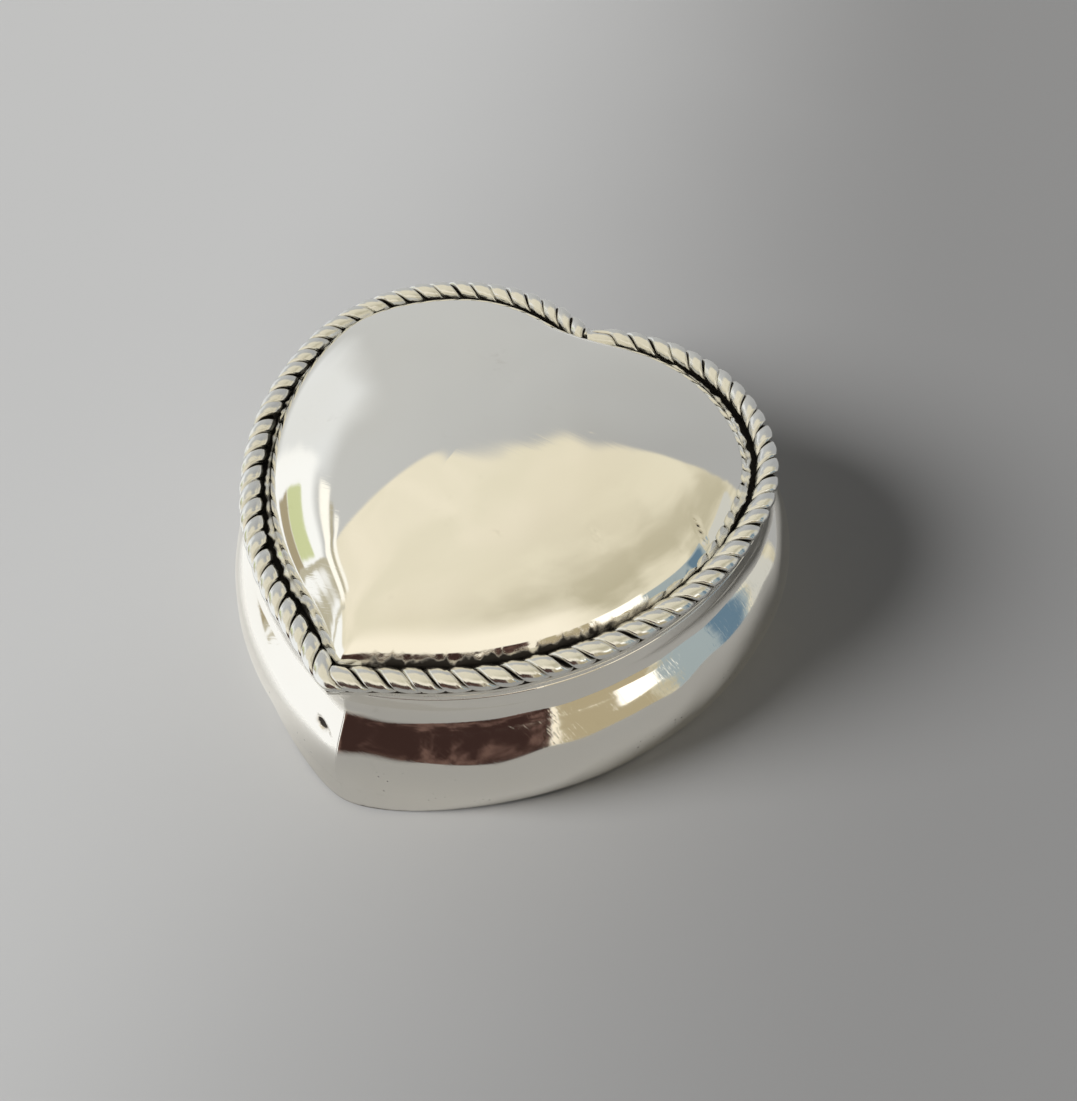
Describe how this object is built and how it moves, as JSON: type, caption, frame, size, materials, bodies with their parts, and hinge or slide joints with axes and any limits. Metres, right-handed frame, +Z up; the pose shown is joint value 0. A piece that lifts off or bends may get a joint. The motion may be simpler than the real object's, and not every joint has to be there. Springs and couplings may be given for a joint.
{
  "type": "trinket box",
  "caption": "Heart-shaped metal trinket box with a puffed lift-off lid, a twisted-wire border and curved side walls that meet in a crease at the point.",
  "frame": {"origin": "on the table plane, under the middle of the box's bounding box", "axes": "+Z up, -Y towards the point of the heart, +Y towards the cleft, +X to the right seen from the point"},
  "size_m": [0.0658, 0.0644, 0.0297],
  "materials": {
    "bright_silver": "hand-polished silver with fine scratches and a few dings",
    "aged_silver": "satin silver, lightly tarnished",
    "oxidised_silver": "polished on the crowns, blackened in the grooves"
  },
  "bodies": {
    "box": {"base_plate": "aged_silver", "wall_left": "bright_silver", "wall_right": "bright_silver", "mouth_rim": "aged_silver"},
    "lid": {"lid_plate": "aged_silver", "lid_bezel": "aged_silver", "lid_dome": "bright_silver", "rope_strand_a": "oxidised_silver", "rope_strand_b": "oxidised_silver"}
  },
  "joints": [
    {"name": "lid_lift", "type": "slide", "parent": "box", "child": "lid", "axis": [0, 0, 1], "range_m": [0, 0.04]}
  ]
}
